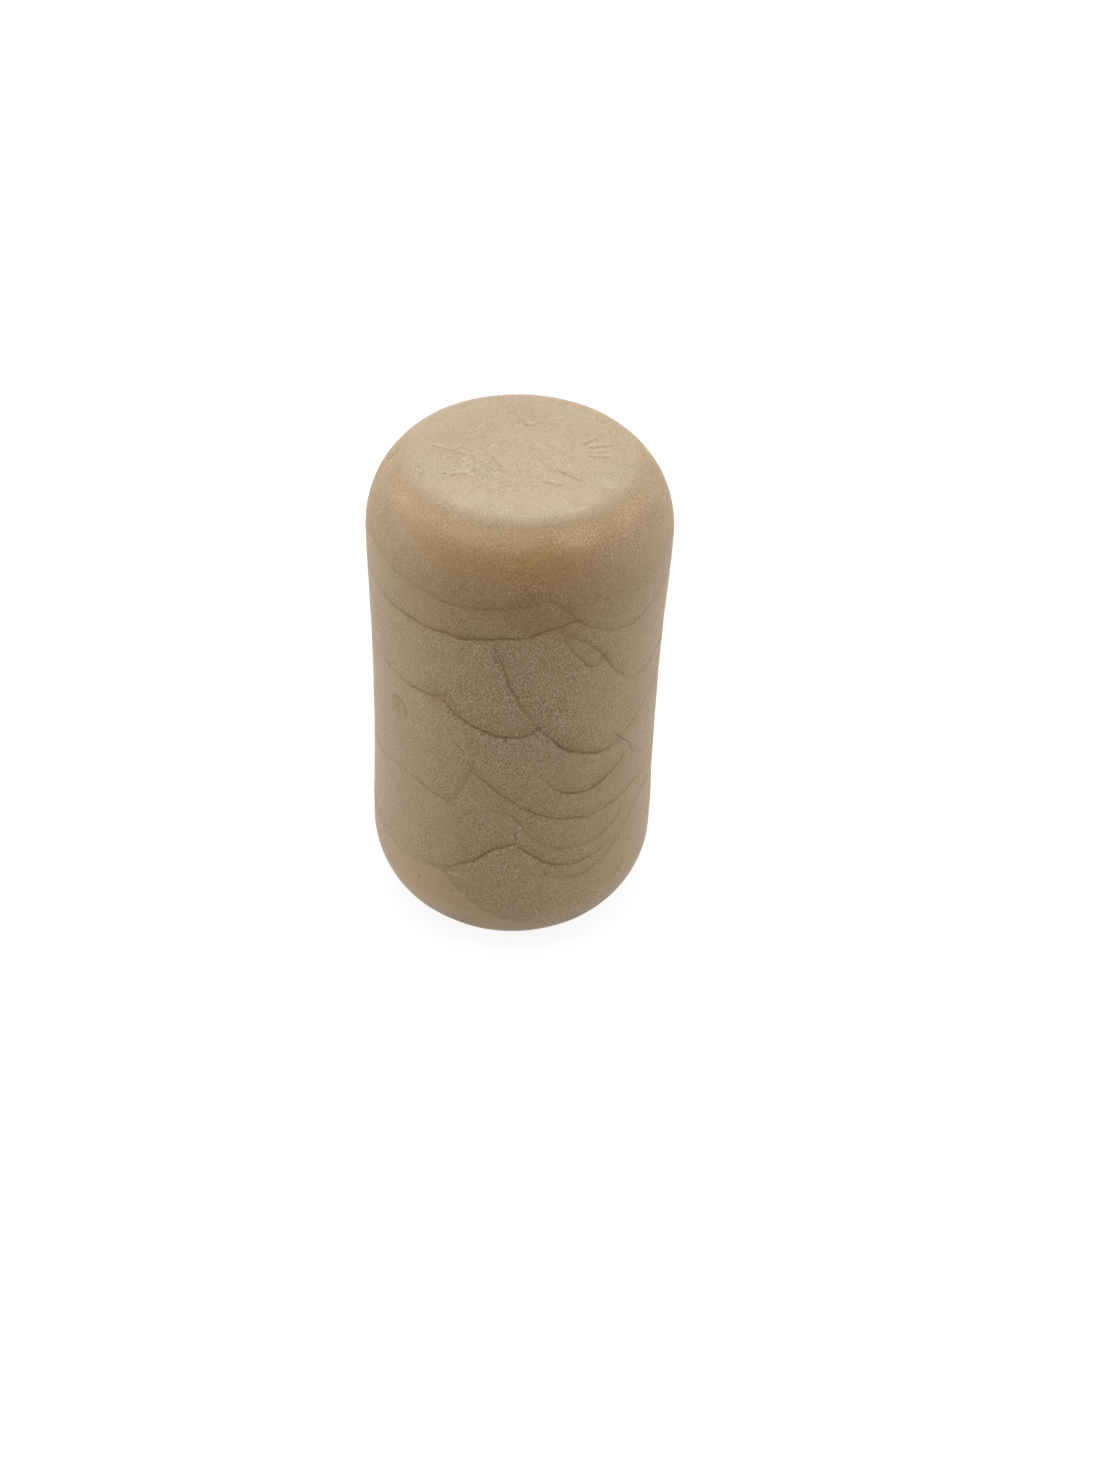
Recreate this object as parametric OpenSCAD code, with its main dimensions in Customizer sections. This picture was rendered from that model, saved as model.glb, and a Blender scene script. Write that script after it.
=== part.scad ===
// Moulded synthetic bottle stopper in cork colour.
// One solid piece, foamed and injection moulded. Both ends are alike: a flat rim
// around a shallow dish, a soft edge, a rounded shoulder and a short straight land.
// The side between the lands is drawn in a little, and it is crossed by the
// shallow folds where one tongue of the melt lapped over the next.
// The origin is the centre of the lower rim's plane, with the axis along +Z.

/* [Body] */
// Length from rim to rim
body_len = 38; // [32:0.5:50]
// Largest width, measured across the lands
body_d = 21.3; // [19:0.1:26]
// Length of the straight land beside each shoulder
land_len = 2.2; // [1:0.1:4]
// How far the side is drawn in at mid height
waist_depth = 0.205; // [0.08:0.005:0.6]

/* [Ends] */
// Radius of the rounded shoulder's section
shoulder_r = 6.7; // [5.5:0.1:8]
// Diameter where the shoulder would meet the end plane without its soft edge
end_d = 15.4; // [13:0.1:16.5]
// Radius of the soft edge between the shoulder and the rim
edge_r = 0.8; // [0.4:0.1:1.4]
// Width of the flat rim
rim_w = 0.75; // [0.4:0.05:1.5]
// Depth of the shallow dish inside the rim
dish_depth = 0.35; // [0.1:0.05:1]

/* [Flow folds] */
// Depth of the fold lines
fold_depth = 0.12; // [0.05:0.01:0.25]
// Width of the fold lines
fold_w = 0.32; // [0.2:0.02:0.6]

/* [Bubble mark] */
// Diameter of the round mark that a bubble left in the side
pit_d = 2.1; // [1:0.1:4]
// Depth of that mark
pit_depth = 0.16; // [0.05:0.01:0.4]

/* [Hidden] */
$fn = 256;

body_r = body_d / 2;
end_r = end_d / 2;

// The shoulder's arc would stand out past the land by this much, and the land trims it.
land_trim = 0.005;
shoulder_x = body_r + land_trim - shoulder_r;
shoulder_h = sqrt(pow(shoulder_r, 2) - pow(end_r - shoulder_x, 2));

// The soft edge is a run of short flats around a circle inside the shoulder's corner.
edge_steps = 5;
edge_x = shoulder_x + sqrt(pow(shoulder_r - edge_r, 2) - pow(shoulder_h - edge_r, 2));
edge_z = body_len - edge_r;
edge_from = atan2(shoulder_h - edge_r, edge_x - shoulder_x);
edge_step = (90 - edge_from) / edge_steps;

// The waist is one arc from land to land.
waist_half = body_len / 2 - shoulder_h - land_len;
waist_r = (pow(waist_half, 2) + pow(waist_depth, 2)) / (2 * waist_depth);

// The dish inside the rim and the bubble mark are both shallow caps of a ball.
dish_edge_r = edge_x - rim_w;
dish_r = (pow(dish_edge_r, 2) + pow(dish_depth, 2)) / (2 * dish_depth);
pit_r = (pow(pit_d / 2, 2) + pow(pit_depth, 2)) / (2 * pit_depth);
pit_at = [-52, 55.8];

// A fold line's cutter starts this far from the axis and ends outside the body.
cutter_from = 0.5 * body_r;
cutter_to = 1.2 * body_r;

// Fold lines. Each row gives a start, a point on the way and an end, and the line is
// the arc through them. A point is an azimuth in degrees, counted from the front
// towards the right, and a height in percent of the body's length.
front_folds = [
    [[-75, 87.9], [-25, 85.4], [14, 87.7]],
    [[14, 87.7], [17, 85.6], [20, 82.8]],
    [[-62, 79.2], [-22, 78.2], [20, 82.8]],
    [[20, 82.8], [38, 78.4], [65, 79.5]],
    [[14, 81.4], [29, 75.1], [43, 67.1]],
    [[43, 67.1], [50, 64.5], [63, 64.0]],
    [[18, 78.6], [23, 74.6], [31, 71.9]],
    [[-8, 79.2], [-5, 73.7], [0, 67.6]],
    [[0, 67.6], [4, 62.4], [9, 59.2]],
    [[-58, 63.9], [-45, 62.6], [-30, 63.9]],
    [[-30, 63.9], [-20, 59.7], [-8, 57.5]],
    [[-8, 57.5], [0, 57.2], [9, 59.2]],
    [[9, 59.2], [19, 54.0], [30, 50.7]],
    [[30, 50.7], [37, 50.6], [45, 52.4]],
    [[-13, 53.7], [-15, 50.8], [-17, 48.2]],
    [[-17, 48.2], [-3, 42.6], [10, 38.7]],
    [[10, 38.7], [28, 35.8], [57, 36.8]],
    [[-17, 48.2], [-20, 42.6], [-25, 38.9]],
    [[-25, 38.9], [-42, 40.4], [-70, 39.5]],
    [[13, 46.1], [30, 41.8], [48, 46.3]],
    [[-7, 39.2], [-2, 38.4], [2, 36.1]],
    [[2, 35.3], [8, 31.1], [17, 28.7]],
    [[17, 28.7], [31, 27.9], [47, 32.1]],
    [[2, 31.6], [-5, 30.0], [-15, 26.1]],
    [[-15, 26.1], [-28, 21.7], [-45, 19.5]],
    [[2, 31.1], [10, 26.6], [20, 24.5]],
    [[20, 24.5], [32, 23.8], [43, 24.7]],
    [[12, 24.2], [21, 21.0], [32, 20.1]],
    [[32, 20.1], [44, 23.7], [55, 29.5]],
    [[-28, 21.0], [-15, 15.5], [3, 9.6]],
];
back_folds = [
    [[95, 88.4], [130, 86.1], [165, 87.9]],
    [[215, 87.4], [250, 85.8], [285, 87.9]],
    [[65, 79.5], [86, 76.3], [112, 81.1]],
    [[112, 81.1], [140, 76.8], [172, 80.5]],
    [[172, 80.5], [205, 75.8], [238, 80.0]],
    [[238, 80.0], [268, 77.9], [298, 79.2]],
    [[63, 64.0], [80, 65.5], [97, 70.0]],
    [[97, 70.0], [125, 64.7], [150, 68.9]],
    [[150, 68.9], [185, 62.9], [214, 67.4]],
    [[214, 67.4], [240, 62.1], [262, 65.5]],
    [[262, 65.5], [282, 62.9], [302, 63.9]],
    [[45, 52.4], [60, 54.2], [76, 58.7]],
    [[76, 58.7], [100, 52.4], [128, 56.3]],
    [[128, 56.3], [158, 50.5], [190, 55.3]],
    [[190, 55.3], [222, 49.5], [250, 53.4]],
    [[250, 53.4], [268, 49.7], [284, 52.1]],
    [[57, 36.8], [74, 37.9], [88, 43.7]],
    [[88, 43.7], [115, 37.6], [145, 42.6]],
    [[145, 42.6], [178, 36.3], [208, 41.8]],
    [[208, 41.8], [232, 37.9], [256, 42.1]],
    [[256, 42.1], [272, 39.5], [290, 39.5]],
    [[55, 29.5], [70, 31.6], [82, 31.1]],
    [[82, 31.1], [104, 25.3], [126, 30.3]],
    [[126, 30.3], [160, 23.4], [192, 28.9]],
    [[192, 28.9], [224, 22.6], [252, 27.4]],
    [[252, 27.4], [285, 21.8], [315, 19.5]],
];

// Outline of the two ends' edges, from the middle of the upper end plane to the lower one.
function edge_line(skin) = let (a = edge_from + edge_step, r = edge_r - skin) concat(
    [[0, body_len - skin]],
    [for (i = [edge_steps - 1 : -1 : 1]) edge_corner(edge_from + (i + 0.5) * edge_step, r)],
    [[edge_x + r * cos(a) + body_d * sin(a), edge_z + r * sin(a) - body_d * cos(a)]]);
function edge_corner(a, r) =
    let (reach = r / cos(edge_step / 2)) [edge_x + reach * cos(a), edge_z + reach * sin(a)];
function flipped(line) = [for (i = [len(line) - 1 : -1 : 0]) [line[i][0], body_len - line[i][1]]];

// Half of the body's section, with every face set in by the skin.
module half_section(skin) {
    difference() {
        intersection() {
            union() {
                square([shoulder_x, body_len]);
                translate([0, shoulder_h]) square([body_d, body_len - 2 * shoulder_h]);
                for (z = [shoulder_h, body_len - shoulder_h])
                    translate([shoulder_x, z]) circle(shoulder_r - skin);
            }
            polygon(concat(edge_line(skin), flipped(edge_line(skin))));
            square([body_r - skin, body_len]);
        }
        translate([body_r - waist_depth + waist_r, body_len / 2]) circle(waist_r + skin);
    }
}

// Centre of the circle through three points.
function circle_centre(a, b, c) =
    let (d = 2 * (a[0] * (b[1] - c[1]) + b[0] * (c[1] - a[1]) + c[0] * (a[1] - b[1])))
    [(a * a * (b[1] - c[1]) + b * b * (c[1] - a[1]) + c * c * (a[1] - b[1])) / d,
     (a * a * (c[0] - b[0]) + b * b * (a[0] - c[0]) + c * c * (b[0] - a[0])) / d];

// A point of a fold, seen square on from the azimuth that the fold is cut from.
function seen(p, azimuth) = [body_r * sin(p[0] - azimuth), p[1] / 100 * body_len];
function turned(a) = a < 0 ? a + 360 : a;

// Cutter for one fold line: an arc of a thin wall that points at the body's axis.
module fold_cutter(points) {
    azimuth = points[1][0];
    a = seen(points[0], azimuth);
    c = seen(points[2], azimuth);
    centre = circle_centre(a, seen(points[1], azimuth), c);
    r = norm(a - centre);
    rises = cross(seen(points[1], azimuth) - a, c - a) > 0;
    first = rises ? a - centre : c - centre;
    last = rises ? c - centre : a - centre;
    overlap = atan(fold_w / 2 / r);
    from = atan2(first[1], first[0]) - overlap;
    sweep = turned(atan2(last[1], last[0]) - atan2(first[1], first[0])) + 2 * overlap;
    rotate([0, 0, azimuth]) translate([centre[0], 0, centre[1]]) rotate([90, 0, 0]) rotate([0, 0, from])
        rotate_extrude(angle = sweep) translate([r - fold_w / 2, cutter_from])
            square([fold_w, cutter_to - cutter_from]);
}

module core() {
    rotate_extrude() half_section(fold_depth);
}

module folds() {
    for (points = concat(front_folds, back_folds)) difference() {
        fold_cutter(points);
        core();
    }
}

module dishes() {
    for (z = [-dish_r + dish_depth, body_len + dish_r - dish_depth]) translate([0, 0, z]) sphere(dish_r);
}

module bubble_mark() {
    mark_z = pit_at[1] / 100 * body_len;
    side_r = body_r - waist_depth;
    rotate([0, 0, pit_at[0]]) translate([0, -side_r + pit_depth - pit_r, mark_z]) sphere(pit_r);
}

module stopper() {
    color("burlywood") difference() {
        rotate_extrude() half_section(0);
        dishes();
        bubble_mark();
        folds();
    }
}

stopper();
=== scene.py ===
import math

import bpy
import numpy as np
from mathutils import Matrix, Vector


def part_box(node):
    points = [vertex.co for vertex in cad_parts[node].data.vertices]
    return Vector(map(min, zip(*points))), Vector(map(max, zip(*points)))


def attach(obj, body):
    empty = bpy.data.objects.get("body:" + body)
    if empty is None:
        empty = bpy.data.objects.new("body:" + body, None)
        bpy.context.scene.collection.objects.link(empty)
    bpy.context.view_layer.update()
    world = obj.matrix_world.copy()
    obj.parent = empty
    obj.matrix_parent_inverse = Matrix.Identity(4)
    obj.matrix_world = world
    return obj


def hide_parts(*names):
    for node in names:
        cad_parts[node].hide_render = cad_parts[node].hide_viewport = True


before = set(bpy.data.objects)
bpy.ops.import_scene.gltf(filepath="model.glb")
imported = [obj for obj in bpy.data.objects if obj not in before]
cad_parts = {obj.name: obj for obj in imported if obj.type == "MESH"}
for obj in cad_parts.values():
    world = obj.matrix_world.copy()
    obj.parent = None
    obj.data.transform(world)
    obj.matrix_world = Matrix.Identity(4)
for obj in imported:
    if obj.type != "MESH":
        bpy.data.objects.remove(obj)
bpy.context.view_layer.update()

# --- Camera ------------------------------------------------------------------
# A close view from the front and above, about 15 cm from the stopper. It is
# turned and tilted a little by hand, as a camera held over a bench is.
camera_at = (0.0, -0.11343, 0.10944)
camera_down = math.radians(40.28)
camera_turn = math.radians(-1.37)
camera_tilt = math.radians(2.53)
camera_lens = 48.39

camera_data = bpy.data.cameras.new("camera")
camera_data.lens = camera_lens
camera_data.clip_start = 0.005
camera = bpy.data.objects.new("camera", camera_data)
bpy.context.collection.objects.link(camera)
camera.matrix_world = (
    Matrix.Translation(camera_at)
    @ Matrix.Rotation(camera_turn, 4, "Z")
    @ Matrix.Rotation(math.pi / 2 - camera_down, 4, "X")
    @ Matrix.Rotation(camera_tilt, 4, "Z")
)
bpy.context.scene.camera = camera
bpy.context.scene.view_settings.view_transform = "Standard"

# --- Stopper: form -----------------------------------------------------------
# The stopper is one piece of foamed elastomer, injected into a round mould, so it is
# a turned form: a dished end inside a soft rim, a rounded shoulder, a short straight
# land, and a side drawn in a little between the lands. Lengths are in mm.
mm = 0.001
box_margin = 0.003
box_low, box_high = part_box("stopper")
body_len = (box_high[2] - box_low[2]) / mm
body_r = (box_high[0] - box_low[0]) / 2 / mm - box_margin
half_len = body_len / 2

shoulder_r = 6.7
end_r = 7.7
land_len = 2.2
waist_depth = 0.205
edge_r = 1.8
rim_w = 0.75
dish_depth = 0.35
rim_softness = 0.12

shoulder_x = body_r - shoulder_r
shoulder_h = math.sqrt(shoulder_r**2 - (end_r - shoulder_x) ** 2)
edge_x = shoulder_x + math.sqrt((shoulder_r - edge_r) ** 2 - (shoulder_h - edge_r) ** 2)
edge_from = math.atan2(shoulder_h - edge_r, edge_x - shoulder_x)
waist_half = half_len - shoulder_h - land_len
waist_r = (waist_half**2 + waist_depth**2) / (2 * waist_depth)

# Spacing of the points along the section, and their number around the body.
fine_spacing = 0.1
side_spacing = 0.25
low_end_spacing = 0.4
around = 360


def steps(first, last, length, spacing):
    """Evenly spaced values from first up to, but without, last, for a run of that length."""
    return np.linspace(first, last, max(round(length / spacing), 2), endpoint=False)


def half_section(end_spacing):
    """Section from the middle of an end to the waist, as radius and height above mid height.

    The end's height is the half length less a dish whose depth is a smooth maximum of a
    parabola and nought. Then come the soft edge's arc, the shoulder's arc, the straight
    land, and the waist's arc of very large radius.
    """
    r = steps(0, edge_x, edge_x, end_spacing)
    inside = 1 - (r / (edge_x - rim_w)) ** 2
    depth = dish_depth * (inside + np.sqrt(inside**2 + rim_softness**2)) / 2
    end = (r, half_len - depth)

    turn = steps(math.pi / 2, edge_from, edge_r * (math.pi / 2 - edge_from), fine_spacing)
    edge = (edge_x + edge_r * np.cos(turn), half_len - edge_r + edge_r * np.sin(turn))

    turn = steps(edge_from, 0, shoulder_r * edge_from, side_spacing)
    shoulder = (
        shoulder_x + shoulder_r * np.cos(turn),
        half_len - shoulder_h + shoulder_r * np.sin(turn),
    )

    h = steps(half_len - shoulder_h, waist_half, land_len, side_spacing)
    land = (np.full_like(h, body_r), h)

    h = steps(waist_half, 0, waist_half, side_spacing)
    waist = (body_r - waist_depth + waist_r - np.sqrt(waist_r**2 - h**2), h)
    return np.concatenate([end, edge, shoulder, land, waist], axis=1)


upper = half_section(fine_spacing)
lower = half_section(low_end_spacing)
section_r = np.concatenate([upper[0], [body_r - waist_depth], lower[0][::-1]])
section_z = half_len + np.concatenate([upper[1], [0], -lower[1][::-1]])

# Outward normal of the section, square to the run of its points.
run_r = np.gradient(section_r)
run_z = np.gradient(section_z)
run_len = np.hypot(run_r, run_z)
normal_r = -run_z / run_len
normal_z = run_r / run_len

azimuth = np.radians(np.arange(around) * 360 / around - 180)[None, :]
radius = section_r[:, None]
height = section_z[:, None]
across = np.ones((len(section_r), around))

# --- Stopper: flow folds -----------------------------------------------------
# The melt fills the mould in tongues that lap over one another and freeze against
# its wall. Each lap leaves a fine line: the upper tongue rounds down to it, and the
# next one starts under it.

# A chain is a run of arcs, each through three points, with the upper tongue on its
# left. A point is an azimuth in degrees from the front towards the right, a height in
# percent, and how strongly the line shows there. The chains are in three sets, so that
# most of those that meet are measured apart.
lap_a = [
    [
        (-75, 89.2, 0.4), (-58, 87.3, 0.5), (-42, 86.6, 0.5), (-33, 86.0, 0.5), (-25, 85.6, 0.55),
        (-6, 86.3, 0.6), (12.6, 87.8, 0.6), (17.6, 85.8, 0.7), (22, 83.0, 0.6),
    ],
    [(95, 88.4, 0), (130, 86.1, 0.8), (165, 87.9, 0)],
    [(215, 87.4, 0), (250, 85.8, 0.8), (285, 87.9, 0.2)],
    [
        (9, 59.1, 1.2), (18, 54.6, 1.4), (27, 51.1, 1.5), (36.5, 49.9, 1.3), (46, 51.5, 0.7),
        (60, 54.6, 0.5), (76, 58.7, 0.5), (100, 52.4, 0.9), (128, 56.3, 0.5), (158, 50.5, 0.9),
        (190, 55.3, 0.5), (222, 49.5, 0.9), (250, 53.4, 0.5), (268, 49.7, 0.6), (284, 52.1, 0),
    ],
    [(17.3, 79.9, 0.4), (21.6, 75.9, 0.6), (26.9, 72.4, 0.7), (29.8, 71.8, 0.6), (33.6, 72.9, 0.4)],
    [(6.0, 75.6, 0.1), (8.3, 75.0, 0.4), (9.9, 74.2, 0.3)],
    [(-8, 79.4, 0.7), (-5.2, 73.7, 0.8), (-2.4, 69.6, 0.8), (2.5, 64.3, 1.0), (8.8, 59.1, 0.9)],
    [
        (-70, 38.4, 0.3), (-42, 40.7, 0.7), (-26, 38.7, 0.6), (-19.5, 43.6, 0.6), (-16.5, 48.6, 0.6),
        (-14.6, 51.2, 0.35), (-12.4, 54.2, 0.2),
    ],
    [(-7, 39.2, 0.5), (-2, 38.4, 0.7), (2, 36.1, 0.6)],
    [(3, 36.0, 0.3), (10, 31.7, 0.5), (19, 29.0, 0.55), (31, 28.0, 0.6), (48.5, 32.0, 0.5)],
    [(-28.5, 21.4, 0.3), (-18.9, 16.4, 0.35), (-3.8, 11.6, 0.4), (3, 10.4, 0.5), (12, 9.0, 0.3)],
    [(-28, 21.5, 0.4), (-22, 22.0, 0.3), (-16, 23.6, 0.1)],
    [(-31.2, 66.0, 0.2), (-30.6, 64.8, 0.4), (-30.9, 63.7, 0.4)],
    [(43, 15.0, 0.2), (49, 16.1, 0.5), (54.4, 18.1, 0.2)],
]
lap_b = [
    [
        (-68, 80.5, 0.4), (-58, 79.1, 0.7), (-48, 78.6, 0.9), (-36, 78.7, 1.4), (-22, 78.6, 1.9),
        (0, 80.3, 1.4), (22, 83.0, 0.9), (29, 80.6, 0.6), (36.5, 78.5, 0.5), (46, 77.8, 0.5),
        (60, 79.0, 0.5), (68, 80.2, 0.5), (74, 81.6, 0.4), (93, 77.5, 0.8), (112, 81.1, 0.5),
        (140, 76.8, 1), (172, 80.5, 0.5), (205, 75.8, 1), (238, 80.0, 0.5), (265, 78.2, 0.7),
        (292, 80.5, 0.4),
    ],
    [
        (63, 64.0, 0.5), (80, 65.5, 0.7), (97, 70.0, 0.5), (125, 64.7, 1), (150, 68.9, 0.5),
        (185, 62.9, 1), (214, 67.4, 0.5), (240, 62.1, 0.9), (262, 65.5, 0.5), (282, 62.9, 0.6),
        (302, 63.9, 0.5), (315, 62.6, 0.8), (330, 63.9, 0.9), (340, 59.7, 1.6), (352, 57.5, 1.9),
        (360, 57.2, 2.0), (369, 59.0, 1.2),
    ],
    [(13.5, 45.8, 0.9), (29, 41.6, 1.7), (48, 46.1, 0.6)],
    [
        (55, 29.5, 0.6), (70, 31.6, 0.7), (82, 31.1, 0.5), (104, 25.3, 0.9), (126, 30.3, 0.5),
        (160, 23.4, 1), (192, 28.9, 0.5), (224, 22.6, 0.9), (252, 27.4, 0.5), (285, 21.8, 0.7),
        (315, 19.5, 0.2), (332, 21.8, 0.5), (345, 25.8, 1.3), (355, 29.6, 1.4), (362, 31.2, 1.1),
    ],
    [(2.2, 30.6, 0.9), (9.7, 27.2, 1.1), (20, 24.8, 0.9), (30, 24.0, 0.7), (41.5, 26.3, 0.4)],
]
lap_c = [
    [
        (15.3, 81.0, 0.5), (24.5, 78.2, 0.8), (32.3, 73.8, 0.9), (39.8, 69.2, 0.5), (46.3, 65.4, 0.5),
        (53.2, 63.6, 0.5), (63, 64.0, 0.4),
    ],
    [
        (-16.4, 48.2, 0.7), (-2, 42.1, 1.1), (10, 38.2, 0.9), (27, 35.5, 0.8), (57, 36.8, 0.5),
        (74, 37.9, 0.5), (88, 43.7, 0.5), (115, 37.6, 0.9), (145, 42.6, 0.5), (178, 36.3, 1),
        (208, 41.8, 0.5), (232, 37.9, 0.8), (256, 42.1, 0.5), (272, 39.5, 0.7), (290, 39.5, 0.4),
    ],
    [(10.8, 25.4, 0.3), (20, 21.2, 0.5), (31, 20.4, 0.6), (43, 23.4, 0.65), (55, 29.5, 0.5)],
]

# Hair-fine dark scratches, pale grazes, most of them near the lower end, and the amber
# seam around the front shoulder, in the same form.
scratch = [
    [(42.5, 53.7, 0.6), (48, 50.1, 1), (55.5, 45.0, 0.7)],
    [(35.5, 36.1, 0.5), (38.2, 37.0, 0.8), (39.7, 38.1, 0.5)],
    [(-23, 6.0, 0.25), (-20.5, 6.9, 0.3), (-17.5, 8.2, 0.15)],
    [(-94.6, 98.8, 0.9), (-93.2, 98.3, 1.2), (-92.7, 97.8, 1.0)],
    [(-96.6, 98.0, 0.8), (-96.9, 97.4, 1.1), (-95.0, 97.3, 0.9)],
    [(44.7, 36.7, 0.3), (44.1, 36.3, 0.4), (42.9, 35.9, 0.2)],
    [(33.8, 35.2, 0.3), (32.9, 35.0, 0.4), (32.0, 34.7, 0.2)],
    [(70.5, 25.2, 0.4), (71.3, 23.6, 0.7), (75.0, 22.0, 0.5)],
    [(2.5, 34.4, 0.5), (2.0, 33.5, 0.9), (2.1, 32.5, 0.7)],
]
graze = [
    [(-24.5, 15.2, 0.4), (-20.8, 16.1, 0.7), (-13.6, 16.0, 0.4)],
    [(-8, 15.8, 0.3), (-4, 16.4, 0.5), (-1, 15.7, 0.3)],
    [(3, 15.6, 0.2), (8, 16.3, 0.4), (12.6, 16.3, 0.3), (15.5, 16.7, 0.4), (19, 17.6, 0.2)],
    [(-4, 12.7, 0.2), (2, 13.2, 0.35), (8, 13.0, 0.2)],
    [(18, 14.0, 0.2), (22, 15.2, 0.35), (25, 16.8, 0.2)],
    [(7, 52.0, 0.1), (11, 50.4, 0.4), (14, 49.8, 0.2)],
    [(-45.3, 29.4, 0.2), (-42.7, 25.6, 0.5), (-39.8, 21.6, 0.2)],
    [(-43.6, 30.6, 0.1), (-41.2, 27.0, 0.35), (-38.0, 23.4, 0.1)],
]
amber_seam = [
    [
        (-52, 95.6, 0.2), (-45, 94.7, 0.5), (-36, 92.9, 0.5), (-27, 92.0, 0.6), (-15.4, 92.4, 0.9),
        (-10, 92.8, 1.0), (-4.5, 93.7, 1.0), (4.1, 95.1, 1.0), (12.3, 96.1, 0.8), (17.4, 96.9, 0.6),
        (23.3, 98.1, 0.2),
    ],
    [(-12.5, 97.5, 0.3), (-6, 97.0, 0.9), (2.3, 97.3, 0.5)],
    [(-25.4, 96.1, 0.3), (-23.2, 94.9, 0.6), (-20, 94.1, 0.3)],
    [(-19, 96.5, 0.2), (-16, 96.1, 0.6), (-15.3, 95.6, 0.4)],
    [(-58, 98.6, 0.1), (-46, 97.2, 0.3), (-36, 96.8, 0.1)],
    [(14, 95.5, 0.1), (22, 94.4, 0.3), (30, 94.6, 0.1)],
]


def waves(seed, wavelength, count=24):
    """A smooth random height over the whole surface, about 1 in size.

    It is a sum of cosines in azimuth and height with random phases, whose wave counts
    around the body are whole numbers, so the two edges of the grid meet.
    """
    rng = np.random.default_rng(seed)
    direction = rng.uniform(0, math.pi, count)
    size = 2 * math.pi / (wavelength * rng.uniform(0.7, 1.4, count))
    turns = np.round(size * np.cos(direction) * body_r)
    rise = size * np.sin(direction)
    phase = rng.uniform(0, 2 * math.pi, count)
    total = sum(
        np.cos(turns[i] * azimuth + rise[i] * height + phase[i]) for i in range(count)
    )
    return total / math.sqrt(count / 2)


# The lines wander a little, so the surface is pushed about before they are measured.
# They also lie a touch lower than the arcs do, and fade out past a chain's ends.
line_drop = 0.19
end_fade = 0.35
wander_across = 0.06 * waves(1, 3.2) + 0.015 * waves(2, 0.9)
wander_up = line_drop + 0.06 * waves(3, 3.0) + 0.015 * waves(4, 0.8)

# The relief beside a fold, in mm: its depth at the line and how far it reaches, on the
# upper tongue, on the lower one, and in the crease between the two.
upper_depth = 0.05
upper_reach = 0.8
lower_depth = 0.05
lower_reach = 0.2
crease_depth = 0.055
crease_w = 0.15
relief_limit = 1.4

# How far from its line a fold's mark is drawn, over what length it then fades, and
# the largest distances that the mesh keeps and that the sums start from, in mm.
mark_reach = 2.6
mark_fade = 1.8
kept_distance = 3
far_off = 99


def arc_field(points, opens, closes):
    """Signed distance to one arc, how far a point lies past its ends, and the line's strength.

    The arc is seen square on from its middle point's azimuth: across is radius times the
    sine of the azimuth from there, and up is the height. The arc's circle goes through the
    three points. Distance is that to the nearest point of the arc, and it is positive on
    the left of the direction of travel.
    """
    middle = math.radians(points[1][0])
    turn = azimuth - middle
    x = radius * np.sin(turn) + wander_across
    y = height + wander_up
    seen = [
        (body_r * math.sin(math.radians(p[0]) - middle), p[1] / 100 * body_len) for p in points
    ]
    (ax, ay), (bx, by), (cx, cy) = seen
    twice = 2 * (ax * (by - cy) + bx * (cy - ay) + cx * (ay - by))
    squares = [px**2 + py**2 for px, py in seen]
    mid_x = (squares[0] * (by - cy) + squares[1] * (cy - ay) + squares[2] * (ay - by)) / twice
    mid_y = (squares[0] * (cx - bx) + squares[1] * (ax - cx) + squares[2] * (bx - ax)) / twice
    size = math.hypot(ax - mid_x, ay - mid_y)
    side = 1 if twice > 0 else -1
    full = 2 * math.pi
    first = math.atan2(ay - mid_y, ax - mid_x)
    half = (side * (math.atan2(by - mid_y, bx - mid_x) - first)) % full
    sweep = (side * (math.atan2(cy - mid_y, cx - mid_x) - first)) % full

    along = (side * (np.arctan2(y - mid_y, x - mid_x) - first)) % full
    along = np.where(along > (sweep + full) / 2, along - full, along)
    near = first + side * np.clip(along, 0, sweep)
    off_x = x - mid_x - size * np.cos(near)
    off_y = y - mid_y - size * np.sin(near)
    distance = np.hypot(off_x, off_y)
    left = side * (size - np.hypot(x - mid_x, y - mid_y))
    faces_arc = np.cos(turn) > 0.1
    distance = np.where(faces_arc, distance, far_off) * np.where(left >= 0, 1, -1)

    past = np.maximum(-along, 0) * opens + np.maximum(along - sweep, 0) * closes
    share = np.clip(along, 0, sweep)
    strength = np.interp(share, [0, half, sweep], [p[2] for p in points])
    return distance, strength * np.exp(-((past * size / end_fade) ** 2))


def chain_field(chain):
    """Signed distance to the nearest arc of a chain, and the line's strength there."""
    joined = abs(chain[0][0] + 360 - chain[-1][0]) < 1 and chain[0][1] == chain[-1][1]
    best = far_off * across
    strength = 0 * across
    for i in range(0, len(chain) - 2, 2):
        opens = i == 0 and not joined
        closes = i == len(chain) - 3 and not joined
        distance, shows = arc_field(chain[i : i + 3], opens, closes)
        nearer = np.abs(distance) < np.abs(best)
        best = np.where(nearer, distance, best)
        strength = np.where(nearer, shows, strength)
    return best, strength


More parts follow.
